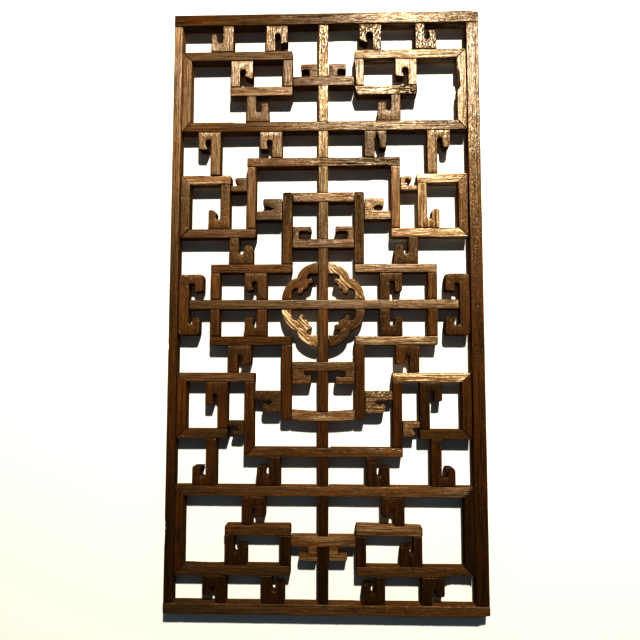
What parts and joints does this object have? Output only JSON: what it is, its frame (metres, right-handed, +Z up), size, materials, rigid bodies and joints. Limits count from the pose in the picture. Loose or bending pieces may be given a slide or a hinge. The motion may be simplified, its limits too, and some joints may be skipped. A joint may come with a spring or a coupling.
{
  "type": "lattice panel",
  "caption": "Upright wooden lattice window panel: outer frame, stepped straight bars, carved hooked fillers and a quatrefoil ring at the centre.",
  "frame": {"origin": "middle of the top rail's back face, where the panel is fixed to a wall", "axes": "+X to the right seen from the front, +Y from the front into the wall, +Z up along the panel's long side"},
  "size_m": [0.56, 0.028, 1.0775],
  "materials": {
    "frame_wood": "dark red-brown stain under worn varnish",
    "lattice_wood": "honey-brown to dark stain under worn varnish",
    "hook_wood": "carved, stained and varnished, worn on the edges"
  },
  "bodies": {
    "root": {"bottom_rail": "frame_wood", "bridge_hook_lower_left": "hook_wood", "bridge_hook_lower_right": "hook_wood", "bridge_hook_upper_left": "hook_wood", "bridge_hook_upper_right": "hook_wood", "centre_post": "lattice_wood", "centre_rail": "lattice_wood", "corner_post_lower_left": "lattice_wood", "corner_post_lower_right": "lattice_wood", "corner_post_upper_left": "lattice_wood", "corner_post_upper_right": "lattice_wood", "cross_arm_lower_left": "lattice_wood", "cross_arm_lower_right": "lattice_wood", "cross_arm_upper_left": "lattice_wood", "cross_arm_upper_right": "lattice_wood", "end_rail_lower": "lattice_wood", "end_rail_upper": "lattice_wood", "inner_bridge_lower": "lattice_wood", "inner_bridge_upper": "lattice_wood", "inner_post_lower_left": "lattice_wood", "inner_post_lower_right": "lattice_wood", "inner_post_upper_left": "lattice_wood", "inner_post_upper_right": "lattice_wood", "left_stile": "frame_wood", "lower_cross_rail": "lattice_wood", "outer_bridge_lower": "lattice_wood", "outer_bridge_upper": "lattice_wood", "right_stile": "frame_wood", "ring_quarter_lower_left": "hook_wood", "ring_quarter_lower_right": "hook_wood", "ring_quarter_upper_left": "hook_wood", "ring_quarter_upper_right": "hook_wood", "side_frame_lower_left": "lattice_wood", "side_frame_lower_right": "lattice_wood", "side_frame_upper_left": "lattice_wood", "side_frame_upper_right": "lattice_wood", "small_frame_lower_left": "lattice_wood", "small_frame_lower_right": "lattice_wood", "small_frame_upper_left": "lattice_wood", "small_frame_upper_right": "lattice_wood", "step_hook_lower_left": "hook_wood", "step_hook_lower_right": "hook_wood", "step_hook_upper_left": "hook_wood", "step_hook_upper_right": "hook_wood", "step_post_lower_left": "lattice_wood", "step_post_lower_right": "lattice_wood", "step_post_upper_left": "lattice_wood", "step_post_upper_right": "lattice_wood", "step_rail_lower": "lattice_wood", "step_rail_upper": "lattice_wood", "stile_bracket_left": "hook_wood", "stile_bracket_right": "hook_wood", "sub_rail_lower_left": "lattice_wood", "sub_rail_lower_right": "lattice_wood", "sub_rail_upper_left": "lattice_wood", "sub_rail_upper_right": "lattice_wood", "top_rail": "frame_wood", "upper_cross_rail": "lattice_wood"}
  },
  "joints": []
}
